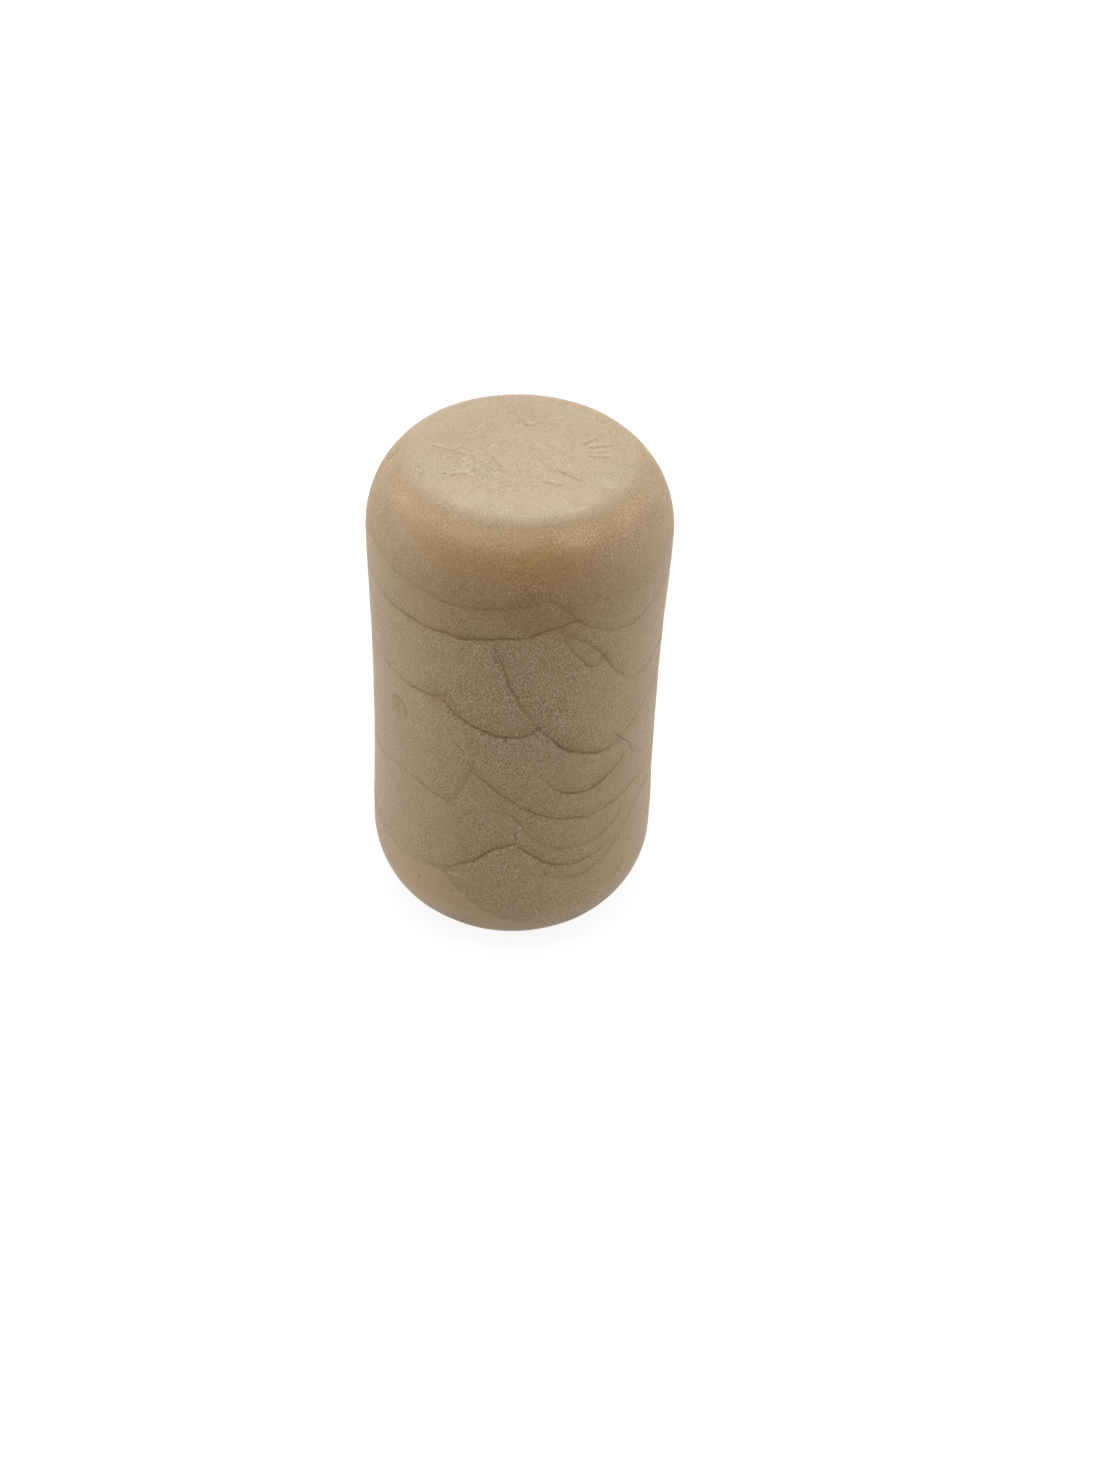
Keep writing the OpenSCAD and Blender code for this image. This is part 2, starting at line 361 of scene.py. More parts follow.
def set_field(chains):
    """Signed distance to the nearest chain of a set, its strength, and their shared relief.

    Relief is the depth in mm below the smooth form. The upper tongue rounds down towards
    the line, the lower one rises quickly from it, and a narrow crease runs between them.
    """
    best = far_off * across
    strength = 0 * across
    depth = 0 * across
    for chain in chains:
        distance, shows = chain_field(chain)
        upper_side = upper_depth * np.exp(-np.maximum(distance, 0) / upper_reach) * (distance >= 0)
        lower_side = lower_depth * np.exp(-np.maximum(-distance, 0) / lower_reach) * (distance < 0)
        crease = crease_depth * np.exp(-((distance / crease_w) ** 2))
        depth = depth + np.minimum(shows, relief_limit) * (upper_side + lower_side + crease)
        nearer = np.abs(distance) < np.abs(best)
        best = np.where(nearer, distance, best)
        strength = np.where(nearer, shows, strength)
    reach = np.clip((mark_reach - np.abs(best)) / mark_fade, 0, 1)
    return np.clip(best, -kept_distance, kept_distance), strength * reach, depth


# What the mesh keeps for its material, and how far its points are sunk, in mm.
fields = {}
sunk = 0 * across
for name, chains in {"lap_a": lap_a, "lap_b": lap_b, "lap_c": lap_c}.items():
    fields[name], fields["mark" + name[3:]], relief = set_field(chains)
    sunk = sunk + relief
fields["scratch"], fields["scratch_mark"], _ = set_field(scratch)
fields["graze"], fields["graze_mark"], _ = set_field(graze)
fields["seam"], fields["seam_mark"], _ = set_field(amber_seam)

# --- Stopper: bubble mark and end wrinkles -----------------------------------
# A gas bubble against the mould's wall left a round, shallow dent in the left front.
# The skin of the upper end puckered into short strokes and fine ridges as the foam
# drew in behind it.
bubble_azimuth = math.radians(-51.2)
bubble_height = 0.5495 * body_len
bubble_r = 0.98
bubble_depth = 0.12

# A stroke is a narrow dip. Beyond it lies a low, raised lip, painted pale as a highlight, and the rim
# stays flat. The widths are in mm, and the scales are for the depths in the table below.
stroke_w = 0.12
stroke_depth_scale = 1.8
lip_offset = 0.24
lip_w = 0.11
lip_height_scale = 0.6
lip_highlight_scale = 16
lip_limit_r = 6.3

# Each stroke has three points in mm across the end, its depth and how amber it is.
wrinkles = [
    [(-6.0, 0.6), (-5.4, 0.4), (-4.9, 0.2), 0.05, 1.0],
    [(-4.6, 0.2), (-4.4, 0.5), (-4.2, 0.7), 0.06, 0.5],
    [(-4.6, -0.2), (-4.4, 0.0), (-4.2, 0.1), 0.05, 0.4],
    [(-5.2, -1.1), (-5.0, -0.8), (-4.7, -0.6), 0.03, 0.6],
    [(-4.7, -2.9), (-4.2, -2.7), (-3.6, -2.5), 0.08, 0.6],
    [(-4.9, -3.4), (-4.8, -3.2), (-4.7, -3.0), 0.04, 0.4],
    [(-3.3, -4.8), (-2.9, -4.2), (-2.4, -3.6), 0.05, 0.7],
    [(-2.4, -4.8), (-2.5, -5.2), (-2.5, -5.7), 0.03, 0.3],
    [(-1.9, -0.2), (-1.5, -1.0), (-1.2, -2.0), 0.05, 1.0],
    [(1.5, -3.1), (2.1, -3.4), (2.6, -3.5), 0.06, 0.8],
    [(2.8, -1.9), (3.3, -2.4), (3.8, -2.9), 0.07, 0.8],
    [(3.1, -1.7), (3.4, -2.1), (3.8, -2.3), 0.05, 0.4],
    [(2.4, 1.4), (2.6, 0.5), (2.6, -0.4), 0.03, 0.4],
    [(2.7, 0.8), (3.1, 0.4), (3.5, -0.1), 0.04, 0.3],
    [(4.2, 1.6), (4.6, 1.9), (5.0, 2.2), 0.06, 1.0],
    [(4.7, 1.1), (5.4, 1.2), (6.1, 1.3), 0.06, 0.8],
    [(4.6, 0.5), (5.2, 0.5), (5.8, 0.5), 0.05, 0.5],
    [(4.7, 0.0), (5.2, -0.1), (5.8, -0.2), 0.06, 0.7],
    [(-0.3, 4.1), (-0.2, 4.3), (-0.2, 4.5), 0.04, 0.9],
    [(0.0, 4.6), (0.1, 4.3), (0.2, 4.0), 0.05, 0.9],
    [(0.2, 4.0), (0.5, 3.9), (0.8, 3.9), 0.05, 1.2],
    [(-0.7, 6.2), (-0.5, 5.4), (-0.2, 4.7), 0.02, 0.7],
    [(0.8, 4.0), (1.6, 4.2), (2.5, 3.6), 0.02, 0.4],
    [(-2.0, 6.6), (-1.9, 6.0), (-1.8, 5.4), 0.02, 0.7],
    [(-2.6, 3.6), (-3.4, 2.6), (-4.2, 2.5), 0.03, 0.5],
    [(5.5, 4.4), (6.3, 2.1), (7.1, -0.6), 0.01, 0.9],
]


def stroke_field(stroke, end_x, end_y):
    """Distance across the end face to a stroke.

    The stroke is the parabola through its three points, as a run of close points.
    """
    start, middle, stop = (np.array(p) for p in stroke[:3])
    t = np.linspace(0, 1, 33)[:, None]
    curve = start * (1 - t) * (1 - 2 * t) + middle * 4 * t * (1 - t) + stop * t * (2 * t - 1)
    return np.min([np.hypot(end_x - px, end_y - py) for px, py in curve], axis=0)


side_x = radius * np.sin(azimuth)
side_y = -radius * np.cos(azimuth)
end_depth = 0.6
on_top = height > body_len - end_depth
on_end = on_top | (height < end_depth)
stain = 0 * across
lip = 0 * across
for stroke in wrinkles:
    depth, amber = stroke[3:]
    off = stroke_field(stroke, side_x, side_y)
    dip = np.exp(-((off / stroke_w) ** 2))
    sunk = sunk + on_top * stroke_depth_scale * depth * dip
    stain = stain + on_top * amber * dip
    off = stroke_field(stroke, side_x, side_y - lip_offset)
    inside_rim = on_top & (radius < lip_limit_r)
    sunk = sunk - inside_rim * lip_height_scale * depth * np.exp(-((off / stroke_w) ** 2))
    lip = lip + on_top * lip_highlight_scale * depth * np.exp(-((off / lip_w) ** 2))

# Painted highlights on the rim: fine pale strokes where it catches the light, each with how pale it
# is.
rim_highlight_w = 0.1
rim_highlight_strokes = [
    [(7.4, 2.7), (7.6, 0.9), (7.55, -0.7), 0.45],
    [(7.5, -1.4), (7.2, -2.8), (6.6, -3.9), 0.5],
    [(3.2, -6.8), (3.7, -6.6), (4.3, -6.2), 0.8],
    [(-4.4, -6.0), (-4.0, -6.2), (-3.5, -6.4), 0.6],
    [(-1.2, -7.3), (0.3, -7.5), (2.0, -7.3), 0.4],
]
for rim_stroke in rim_highlight_strokes:
    off = stroke_field(rim_stroke, side_x, side_y)
    lip = lip + on_top * rim_stroke[3] * np.exp(-((off / rim_highlight_w) ** 2))
fields["stain"] = np.clip(stain, 0, 2)
fields["lip"] = np.clip(lip, 0, 1)

# The dent is deepest towards its upper right, where its edge is crisp and shows most.
lean_right = 0.4
lean_up = 0.92
middle_lean, lean_range = 0.55, 0.45
edge_gain, edge_least, edge_most = 1.7, 0.45, 1.1
bubble_mark_r = 1.6
bubble_mark_fade = 0.3
off_right = radius * (azimuth - bubble_azimuth)
off_up = height - bubble_height
from_bubble = np.hypot(off_right, off_up)
towards_crisp = (lean_right * off_right + lean_up * off_up) / bubble_r
bubble_lean = middle_lean + lean_range * np.clip(towards_crisp, -1, 1)
bubble_floor = np.clip(1 - (from_bubble / bubble_r) ** 2, 0, 1)
sunk = sunk + bubble_depth * bubble_floor * bubble_lean
fields["bubble"] = np.clip(bubble_r - from_bubble, -kept_distance, kept_distance)
bubble_shows = np.clip((bubble_mark_r - from_bubble) / bubble_mark_fade, 0, 1)
crisp = np.clip(edge_gain * bubble_lean - edge_least, 0, edge_most)
fields["bubble_mark"] = crisp * bubble_shows


def end_waves(seed, wavelength, count=40):
    """A smooth random height over the end faces, about 1 in size, as a sum of plane cosines."""
    rng = np.random.default_rng(seed)
    direction = rng.uniform(0, 2 * math.pi, count)
    size = 2 * math.pi / (wavelength * rng.uniform(0.7, 1.4, count))
    phase = rng.uniform(0, 2 * math.pi, count)
    total = sum(
        np.cos(size[i] * (side_x * np.cos(direction[i]) + side_y * np.sin(direction[i])) + phase[i])
        for i in range(count)
    )
    return total / math.sqrt(count / 2)


# The skin isn't quite true anywhere: it has broad, faint hollows of a hundredth of a
# millimetre or so on the side, and the middle of each end is finely puckered.
broad_hollow = 0.006
small_hollow = 0.003
side_from_r, side_fade = 6.5, 2
pucker_depth = 0.03
pucker_fade_r = 5.0
hollow = broad_hollow * (1 + waves(5, 9)) + small_hollow * (1 + waves(6, 3.5))
onto_side = np.clip((radius - side_from_r) / side_fade, 0, 1)
pucker = np.clip(1.3 - radius / pucker_fade_r, 0, 1) * on_end
sunk = sunk + np.maximum(hollow, 0) * onto_side
sunk = sunk + pucker_depth * pucker * (1 + end_waves(7, 1.1) / 2.5)


def end_patches(rows):
    """Soft round patches on the upper end, added up.

    Each is a bell in the distance across the end from its place, in mm. Its row has
    that place, its width and its strength.
    """
    total = 0 * across
    for at_x, at_y, wide, share in rows:
        off = (side_x - at_x) ** 2 + (side_y - at_y) ** 2
        total = total + share * on_top * np.exp(-off / wide**2)
    return total


# Where the skin of the end is crinkled in a fine network of ridges.
crinkle = end_patches([
    (-3.3, -1.2, 1.5, 1.5), (-2.8, -2.6, 1.2, 0.9), (3.0, -1.9, 1.1, 1.2), (-1.4, -4.2, 1.0, 1.2),
    (1.2, 1.0, 1.2, 0.9), (3.0, 0.2, 0.9, 0.7), (5.2, 0.8, 0.9, 0.5), (-4.4, 0.4, 0.6, 0.8),
    (-2.0, 3.6, 1.0, 0.6), (0.8, -2.6, 1.5, 0.6), (-1.9, 1.6, 0.8, 0.8),
])
fields["crinkle"] = np.clip(crinkle, 0, 1)

share_up = height / body_len * across


def patch(at_azimuth, at_share, wide, tall):
    """A soft oval patch: a bell in azimuth, in degrees, times a bell in height, as a share."""
    off = (np.degrees(azimuth) - at_azimuth + 180) % 360 - 180
    return np.exp(-((off / wide) ** 2) - ((share_up - at_share) / tall) ** 2)


def patches(rows):
    """Soft oval patches, added up.

    Each row has a patch's azimuth in degrees, its height as a share of the length, how
    wide and how tall it is in the same measures, and its strength.
    """
    return sum(share * patch(*row) for *row, share in rows)


def front_of(wide):
    """One at the front at every height, and a bell in azimuth, in degrees, from there."""
    return patch(0, share_up, wide, 1)


# How amber the skin is: most around the upper shoulder and its front, cloudy on the end, and faint
# around the lower shoulder. The extra amber on the front of the side is painted shade.
band_low, band_low_fade = 0.9, 0.055
band_high, band_high_fade = 0.99, 0.03
band = np.clip((share_up - band_low) / band_low_fade, 0, 1)
band = band * np.clip((band_high - share_up) / band_high_fade, 0, 1)
warm = band * (0.2 + 0.2 * front_of(50) + 0.1 * waves(8, 6) + 0.08 * waves(9, 14))
warm = warm + patches([
    (4, 0.865, 38, 0.055, 0.9), (4, 0.925, 38, 0.03, 0.44), (28, 0.962, 18, 0.02, 0.36),
    (135, 0.87, 40, 0.06, 0.5), (-130, 0.9, 45, 0.05, 0.5),
    (-35, 0.17, 40, 0.05, 0.06), (160, 0.12, 60, 0.05, 0.25),
])
rim_outer_r = 7.3
# Painted shade: the front of the side is made a little more amber and darker than the sides.
warm = warm * (radius > rim_outer_r) + 0.13 * front_of(45) * onto_side
warm = warm + end_patches([
    (-0.8, 5.9, 1.6, 0.144), (-3.3, 2.6, 1.3, 0.126), (-5.4, 0.2, 0.8, 0.144),
    (1.0, 4.5, 0.9, 0.09), (-2.0, -4.6, 1.0, 0.072), (5.9, 2.4, 0.9, 0.09),
    (3.0, -2.2, 0.7, 0.072),
])
fields["warm"] = np.clip(warm, 0, 1.6)

# Painted sheen: the two sides are a little cooler and greyer in colour, as the white room's sheen at
# a slant would make them.
fields["cool"] = patches([(-62, 0.42, 20, 0.32, 0.9), (72, 0.5, 14, 0.4, 0.25)])

# The skin is golden just outside the rim, mostly at the front, and the rim itself has a painted
# highlight there.
golden_depth = 1.1
golden_w = 0.6
from_end = np.minimum(height, body_len - height)
golden_ring = np.exp(-(((from_end - golden_depth) / golden_w) ** 2))
golden = golden_ring * (0.3 + 0.5 * front_of(60) + 0.2 * waves(10, 5))
fields["golden"] = np.clip(golden, 0, 1.2)
fields["rubbed"] = np.clip(0.1 + 0.8 * patch(5, share_up, 60, 1) + 0.2 * waves(11, 3), 0, 1)

# Below the last fold of the lower left the skin is smooth and paler. The fold's line
# there goes by azimuth in degrees and height in mm, and the patch fades at both ends.
degrees = np.degrees(azimuth)
smooth_azimuths = [-60, -42, -28.5, -18.9, -10, -3.8, 3, 11, 30]
smooth_heights = [7.2, 7.4, 7.8, 6.1, 4.7, 3.9, 3.5, 3.3, 2.0]
smooth_first, smooth_last, smooth_fade = -75, 40, 25
smooth_edge = 0.2
smooth_top = np.interp(degrees, smooth_azimuths, smooth_heights)
smooth = np.clip((smooth_top - height) / smooth_edge, 0, 1)
smooth = smooth * np.clip((degrees - smooth_first) / smooth_fade, 0, 1)
smooth = smooth * np.clip((smooth_last - degrees) / smooth_fade, 0, 1)
fields["smooth"] = smooth

# How coarse the flecks are: most at the front, least towards the sides and where the skin is smooth.
# Their extra strength at the front is partly painted glint, for the light that the fine bumps catch
# there.
grain = 0.44 + 0.1 * waves(12, 4) + patches([
    (0, 0.62, 34, 0.26, 0.85), (0, 0.2, 45, 0.2, 0.42), (60, 0.965, 32, 0.05, 0.26),
    (0, 0.93, 50, 0.1, -0.1), (0, 0.45, 22, 0.08, -0.14), (48, 0.5, 14, 0.3, -0.08),
])
fields["grain"] = np.clip(grain, 0.3, 1.4) * (1 - 0.6 * smooth) * (1 - 0.2 * on_top)

# Painted shade: the lower end's edge is darkened, as a contact shadow would darken it, and so is the
# back of the upper rim.
shade_up_to, shade_fade = 3.6, 1.4
rim_shade_from, rim_shade_fade = 6.9, 0.5
soiled = np.clip((shade_up_to - height) / shade_fade, 0, 1) * (0.85 + 0.15 * waves(13, 7))
rim_back = np.clip((radius - rim_shade_from) / rim_shade_fade, 0, 1) * patch(180, 1, 75, 0.1)
fields["soiled"] = soiled + 0.16 * on_top * rim_back

# The points sit on the smooth form, sunk square to it.
place_r = radius - sunk * normal_r[:, None]
x = place_r * np.sin(azimuth)
y = -place_r * np.cos(azimuth)
z = height - sunk * normal_z[:, None]

# Each end closes in one point, so the first and last rows shrink to a single vertex.
rows = len(section_r)
grid = np.stack([x, y, z], axis=-1)[1:-1].reshape(-1, 3)
poles = np.array([[0, 0, z[0].mean()], [0, 0, z[-1].mean()]])
places = np.concatenate([grid, poles]) * mm
places[:, 2] += box_low[2]

ring = np.arange(around)
after = (ring + 1) % around
row = np.arange(rows - 3)[:, None] * around
quads = np.stack([row + ring, row + around + ring, row + around + after, row + after], axis=-1)
top_pole, low_pole = len(grid), len(grid) + 1
last_ring = (rows - 3) * around
top_fan = np.stack([np.full(around, top_pole), ring, after], axis=-1)
low_fan = np.stack([np.full(around, low_pole), last_ring + after, last_ring + ring], axis=-1)
faces = quads.reshape(-1, 4).tolist() + top_fan.tolist() + low_fan.tolist()

stopper_mesh = bpy.data.meshes.new("foam_stopper")
stopper_mesh.from_pydata(places.tolist(), [], faces)
stopper_mesh.polygons.foreach_set("use_smooth", np.ones(len(faces), dtype=bool))
for name, field in fields.items():
    values = np.concatenate([field[1:-1].ravel(), [field[0].mean(), field[-1].mean()]])
    attribute = stopper_mesh.attributes.new(name, "FLOAT", "POINT")
    attribute.data.foreach_set("value", values.astype(np.float32))
stopper_mesh.update()
stopper = bpy.data.objects.new("foam_stopper", stopper_mesh)
bpy.context.collection.objects.link(stopper)
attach(stopper, "root")
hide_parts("stopper")

# --- Stopper: skin -----------------------------------------------------------
# The dense skin of the foam is cork-coloured all through, satin, with fine flecks. It is more amber
# where the melt was hottest, around the shoulders, and each fold shows as a fine brown line, with
# painted shade on the tongue above it and painted light on the one below. Its faint pearly look is
# painted: glints among the flecks and a cooler sheen on the sides.
skin = bpy.data.materials.new("foam_skin")
skin.use_nodes = True
tree = skin.node_tree
nodes = tree.nodes
principled = nodes["Principled BSDF"]


def feed(tree, socket, value):
    """Gives a socket its value: a link if the value is another node's output."""
    if isinstance(value, bpy.types.NodeSocket):
        tree.links.new(value, socket)
    elif value is not None:
        socket.default_value = value


def math_node(tree, operation, *values):
    """One arithmetic step, and its result."""
    made = tree.nodes.new("ShaderNodeMath")
    made.operation = operation
    for socket, value in zip(made.inputs, values):
        feed(tree, socket, value)
    return made.outputs[0]


def product(tree, one, other):
    """One value times another."""
    return math_node(tree, "MULTIPLY", one, other)


def vector_node(tree, operation, one, other=None):
    """One step with places, and its results: "Vector" is a place and "Value" a number."""
    made = tree.nodes.new("ShaderNodeVectorMath")
    made.operation = operation
    feed(tree, made.inputs[0], one)
    feed(tree, made.inputs[1], other)
    return made.outputs


def attribute_node(tree, name):
    """The value of one of the mesh's own fields."""
    made = tree.nodes.new("ShaderNodeAttribute")
    made.attribute_name = name
    return made.outputs["Fac"]


def mix_node(tree, share, one, other, blend="MIX"):
    """A colour between two, or the two blended in another way."""
    made = tree.nodes.new("ShaderNodeMix")
    made.data_type = "RGBA"
    made.blend_type = blend
    feed(tree, made.inputs["Factor"], share)
    for socket, value in ((made.inputs[6], one), (made.inputs[7], other)):
        feed(tree, socket, (*value, 1) if isinstance(value, tuple) else value)
    return made.outputs[2]


def noise_node(tree, where, scale, detail, roughness=0.5, distortion=0.0):
    """Soft random spots of about one over scale metres."""
    made = tree.nodes.new("ShaderNodeTexNoise")
    feed(tree, made.inputs["Vector"], where)
    made.inputs["Scale"].default_value = scale
    made.inputs["Detail"].default_value = detail
    made.inputs["Roughness"].default_value = roughness
    made.inputs["Distortion"].default_value = distortion
    return made.outputs["Fac"]


def range_node(tree, value, from_low, from_high, to_low=0.0, to_high=1.0):
    """A smooth ramp: it gives to_low where the value is from_low, and to_high at from_high."""
    made = tree.nodes.new("ShaderNodeMapRange")
    made.interpolation_type = "SMOOTHSTEP"
    for socket, number in zip(made.inputs, (value, from_low, from_high, to_low, to_high)):
        feed(tree, socket, number)
    return made.outputs[0]


# One fold's look, from the distance to it in mm: a fine line, painted shade on the tongue above it
# and painted light on the one below.
fold = bpy.data.node_groups.new("flow_fold", "ShaderNodeTree")
for socket_name in ("Distance", "Strength", "Line Width"):
    fold.interface.new_socket(socket_name, in_out="INPUT", socket_type="NodeSocketFloat")
for socket_name in ("Line", "Above", "Below"):
    fold.interface.new_socket(socket_name, in_out="OUTPUT", socket_type="NodeSocketFloat")
fold_in = fold.nodes.new("NodeGroupInput")
fold_out = fold.nodes.new("NodeGroupOutput")
far, shows, width = (fold_in.outputs[i] for i in range(3))

# The line is a bell of the distance over its width, and it is softer above the fold.
softer_above = 1.6
widening = range_node(fold, far, -0.005, 0.005, 1.0, softer_above)
scaled = math_node(fold, "DIVIDE", far, product(fold, width, widening))
squared = math_node(fold, "POWER", scaled, 2.0)
bell = math_node(fold, "EXPONENT", product(fold, squared, -1.0))
feed(fold, fold_out.inputs["Line"], product(fold, bell, shows))

# Each side fades away from the fold as two exponentials of the distance, one with a
# short length in mm and one with a long one.
near_share = 0.6
for socket_name, sign, short, long in (("Above", 1.0, 0.35, 1.5), ("Below", -1.0, 0.8, 0.8)):
    away = product(fold, far, sign)
    size = math_node(fold, "ABSOLUTE", away)
    near_fade = math_node(fold, "EXPONENT", math_node(fold, "DIVIDE", size, -short))
    wide_fade = math_node(fold, "EXPONENT", math_node(fold, "DIVIDE", size, -long))
    near_part = product(fold, near_fade, near_share)
    falls = math_node(fold, "MULTIPLY_ADD", wide_fade, 1 - near_share, near_part)
    this_side = range_node(fold, away, -0.05, 0.04)
    shade = product(fold, product(fold, falls, this_side), shows)
    feed(fold, fold_out.inputs[socket_name], shade)


def fold_look(distance_name, strength, line_w):
    """The look of the folds whose distance is in a field of the mesh. The width is in mm."""
    placed = nodes.new("ShaderNodeGroup")
    placed.node_tree = fold
    feed(tree, placed.inputs["Distance"], attribute_node(tree, distance_name))
    feed(tree, placed.inputs["Strength"], strength)
    placed.inputs["Line Width"].default_value = line_w
    return placed.outputs


# The three sets of folds, uneven along their lines.
coordinates = nodes.new("ShaderNodeTexCoord").outputs["Object"]
breaks = noise_node(tree, coordinates, scale=420.0, detail=1.0)
uneven = range_node(tree, breaks, 0.3, 0.65, 0.6, 1.15)
fold_line_w = 0.085
fold_looks = []
for letter in "abc":
    strength = product(tree, attribute_node(tree, "mark_" + letter), uneven)
    fold_looks.append(fold_look("lap_" + letter, strength, fold_line_w))


def strongest(name):
    """The greatest of the three sets of folds, at each place."""
    first, second, third = (look[name] for look in fold_looks)
    return math_node(tree, "MAXIMUM", math_node(tree, "MAXIMUM", first, second), third)


line = strongest("Line")
above = strongest("Above")
below = strongest("Below")

# Cloudy colour: paler on the ends, amber around the shoulders, golden just past the rim.
side_colour = (0.530, 0.381, 0.217)
end_colour = (0.566, 0.435, 0.279)
warm_colour = (0.455, 0.275, 0.120)
painted_sheen_tint = (0.985, 1.02, 1.11)
golden_colour = (0.63, 0.448, 0.245)
blotch = noise_node(tree, coordinates, scale=240.0, detail=3.0, roughness=0.55)
cloud = noise_node(tree, coordinates, scale=90.0, detail=2.0)
on_ground = vector_node(tree, "MULTIPLY", coordinates, (1, 1, 0))["Vector"]
from_axis = vector_node(tree, "LENGTH", on_ground)["Value"]
out_mm = math_node(tree, "DIVIDE", from_axis, mm)
colour = mix_node(tree, range_node(tree, out_mm, 8.55, 7.8), side_colour, end_colour)
amber_cloud = range_node(tree, blotch, 0.25, 0.7, 0.75, 1.2)
# Amber skin, with painted shade at the front of the side.
colour = mix_node(tree, product(tree, attribute_node(tree, "warm"), amber_cloud), colour, warm_colour)
# Painted sheen on the two sides.
colour = mix_node(tree, attribute_node(tree, "cool"), colour, painted_sheen_tint, "MULTIPLY")
past_rim = range_node(tree, out_mm, 7.75, 8.3)
golden_share = product(tree, attribute_node(tree, "golden"), past_rim)
colour = mix_node(tree, golden_share, colour, golden_colour)

# The seam around the shoulder is a fine amber line with a faint glow on both sides.
seam_colour = (0.56, 0.32, 0.12)
seam_glow_share = 0.17
seam_line_share = 0.55
ribbon = fold_look("seam", attribute_node(tree, "seam_mark"), 0.09)
seam_glow = math_node(tree, "MAXIMUM", ribbon["Above"], ribbon["Below"])
seam_line = product(tree, ribbon["Line"], seam_line_share)
seam = math_node(tree, "MULTIPLY_ADD", seam_glow, seam_glow_share, seam_line)
seam = product(tree, seam, range_node(tree, blotch, 0.3, 0.65, 0.75, 1.1))
colour = mix_node(tree, seam, colour, seam_colour)

# Blotchy tone and the fine flecks, which are stronger in blue than in red. That extra blue is painted
# glint, for the white highlights of the fine bumps. A slow noise leans the hue a little.
fleck = noise_node(
    tree, coordinates, scale=9200.0, detail=1.0, roughness=0.6, distortion=0.4
)
grain = attribute_node(tree, "grain")
smooth_gain = 0.10
tone = range_node(tree, cloud, 0.3, 0.7, 0.975, 1.025)
tone = product(tree, tone, range_node(tree, blotch, 0.3, 0.7, 0.975, 1.025))
smooth_tone = math_node(tree, "MULTIPLY_ADD", attribute_node(tree, "smooth"), smooth_gain, 1.0)
tone = product(tree, tone, smooth_tone)
speckle = product(tree, range_node(tree, fleck, 0.25, 0.78, -0.46, 0.56), grain)
hue = noise_node(tree, coordinates, scale=330.0, detail=2.0)
fleck_and_glint_rgb = nodes.new("ShaderNodeCombineColor")
for socket, weight, lean in zip(fleck_and_glint_rgb.inputs, (0.83, 1.0, 1.3), (0.007, -0.004, 0.003)):
    leaned = range_node(tree, hue, 0.3, 0.7, 1 - lean, 1 + lean)
    flecked = math_node(tree, "MULTIPLY_ADD", speckle, weight, leaned)
    feed(tree, socket, product(tree, tone, flecked))
colour = mix_node(tree, 1.0, colour, fleck_and_glint_rgb.outputs[0], "MULTIPLY")

# Painted glints: pale specks between the flecks, standing in for the satin skin's tiny highlights.
painted_glint_colour = (0.80, 0.69, 0.52)
glint = noise_node(tree, coordinates, scale=5000.0, detail=0.0)
glints = product(tree, range_node(tree, glint, 0.64, 0.82, 0.0, 0.3), grain)
colour = mix_node(tree, glints, colour, painted_glint_colour)

# Painted highlight: the rim is paler, from 5.2 to 7.95 mm from the axis, most at the front.
rim_highlight_colour = (0.68, 0.56, 0.40)
rim_highlight_share = 0.3
rim_inside = range_node(tree, out_mm, 5.2, 7.2)
rim_outside = range_node(tree, out_mm, 7.95, 7.45)
rim = product(tree, product(tree, rim_inside, rim_outside), attribute_node(tree, "rubbed"))
colour = mix_node(tree, product(tree, rim, rim_highlight_share), colour, rim_highlight_colour)

# Crinkled skin is a net of ridges beside grooves: relief in the bump, and in the colour a painted
# highlight on the ridges and painted shade in the grooves. Each runs where a worm-like noise is near
# a value of its own.
ridge_highlight_colour = (0.76, 0.61, 0.40)
groove_shade_tint = (0.86, 0.80, 0.70)
painted_net_share = 0.7
ridge_at = 0.52
groove_at = 0.43
worms = noise_node(tree, coordinates, scale=1500.0, detail=1.0, distortion=1.2)
crinkled = attribute_node(tree, "crinkle")
ridge_off = math_node(tree, "ABSOLUTE", math_node(tree, "SUBTRACT", worms, ridge_at))
ridge = product(tree, range_node(tree, ridge_off, 0.05, 0.01), crinkled)
groove_off = math_node(tree, "ABSOLUTE", math_node(tree, "SUBTRACT", worms, groove_at))
groove = product(tree, range_node(tree, groove_off, 0.045, 0.0), crinkled)
colour = mix_node(tree, product(tree, ridge, painted_net_share), colour, ridge_highlight_colour)
colour = mix_node(tree, product(tree, groove, painted_net_share), colour, groove_shade_tint, "MULTIPLY")

# The wrinkles' lips and the rim's strokes are pale as a painted highlight. The lower end's edge and
# the back of the rim are greyed as painted shade. The folds tint their line and both of their sides,
# with painted shade above and painted light below.
painted_highlight_colour = (0.78, 0.65, 0.46)
painted_shade_tint = (0.66, 0.63, 0.60)
line_tint = (0.70, 0.62, 0.52)
painted_shade_above_tint = (0.82, 0.765, 0.68)
painted_light_below_tint = (1.02, 1.035, 1.06)
# Painted highlight on the wrinkles' lips and on the rim's strokes.
highlight_cloud = range_node(tree, worms, 0.35, 0.6, 0.85, 0.45)
colour = mix_node(tree, product(tree, attribute_node(tree, "lip"), highlight_cloud), colour, painted_highlight_colour)
# Painted shade, greying the lower end's edge and the back of the upper rim.
colour = mix_node(tree, attribute_node(tree, "soiled"), colour, painted_shade_tint, "MULTIPLY")
# Painted shade on the tongue above each fold, and painted light on the one below.
colour = mix_node(tree, above, colour, painted_shade_above_tint, "MULTIPLY")
colour = mix_node(tree, below, colour, painted_light_below_tint, "MULTIPLY")
colour = mix_node(tree, line, colour, line_tint, "MULTIPLY")

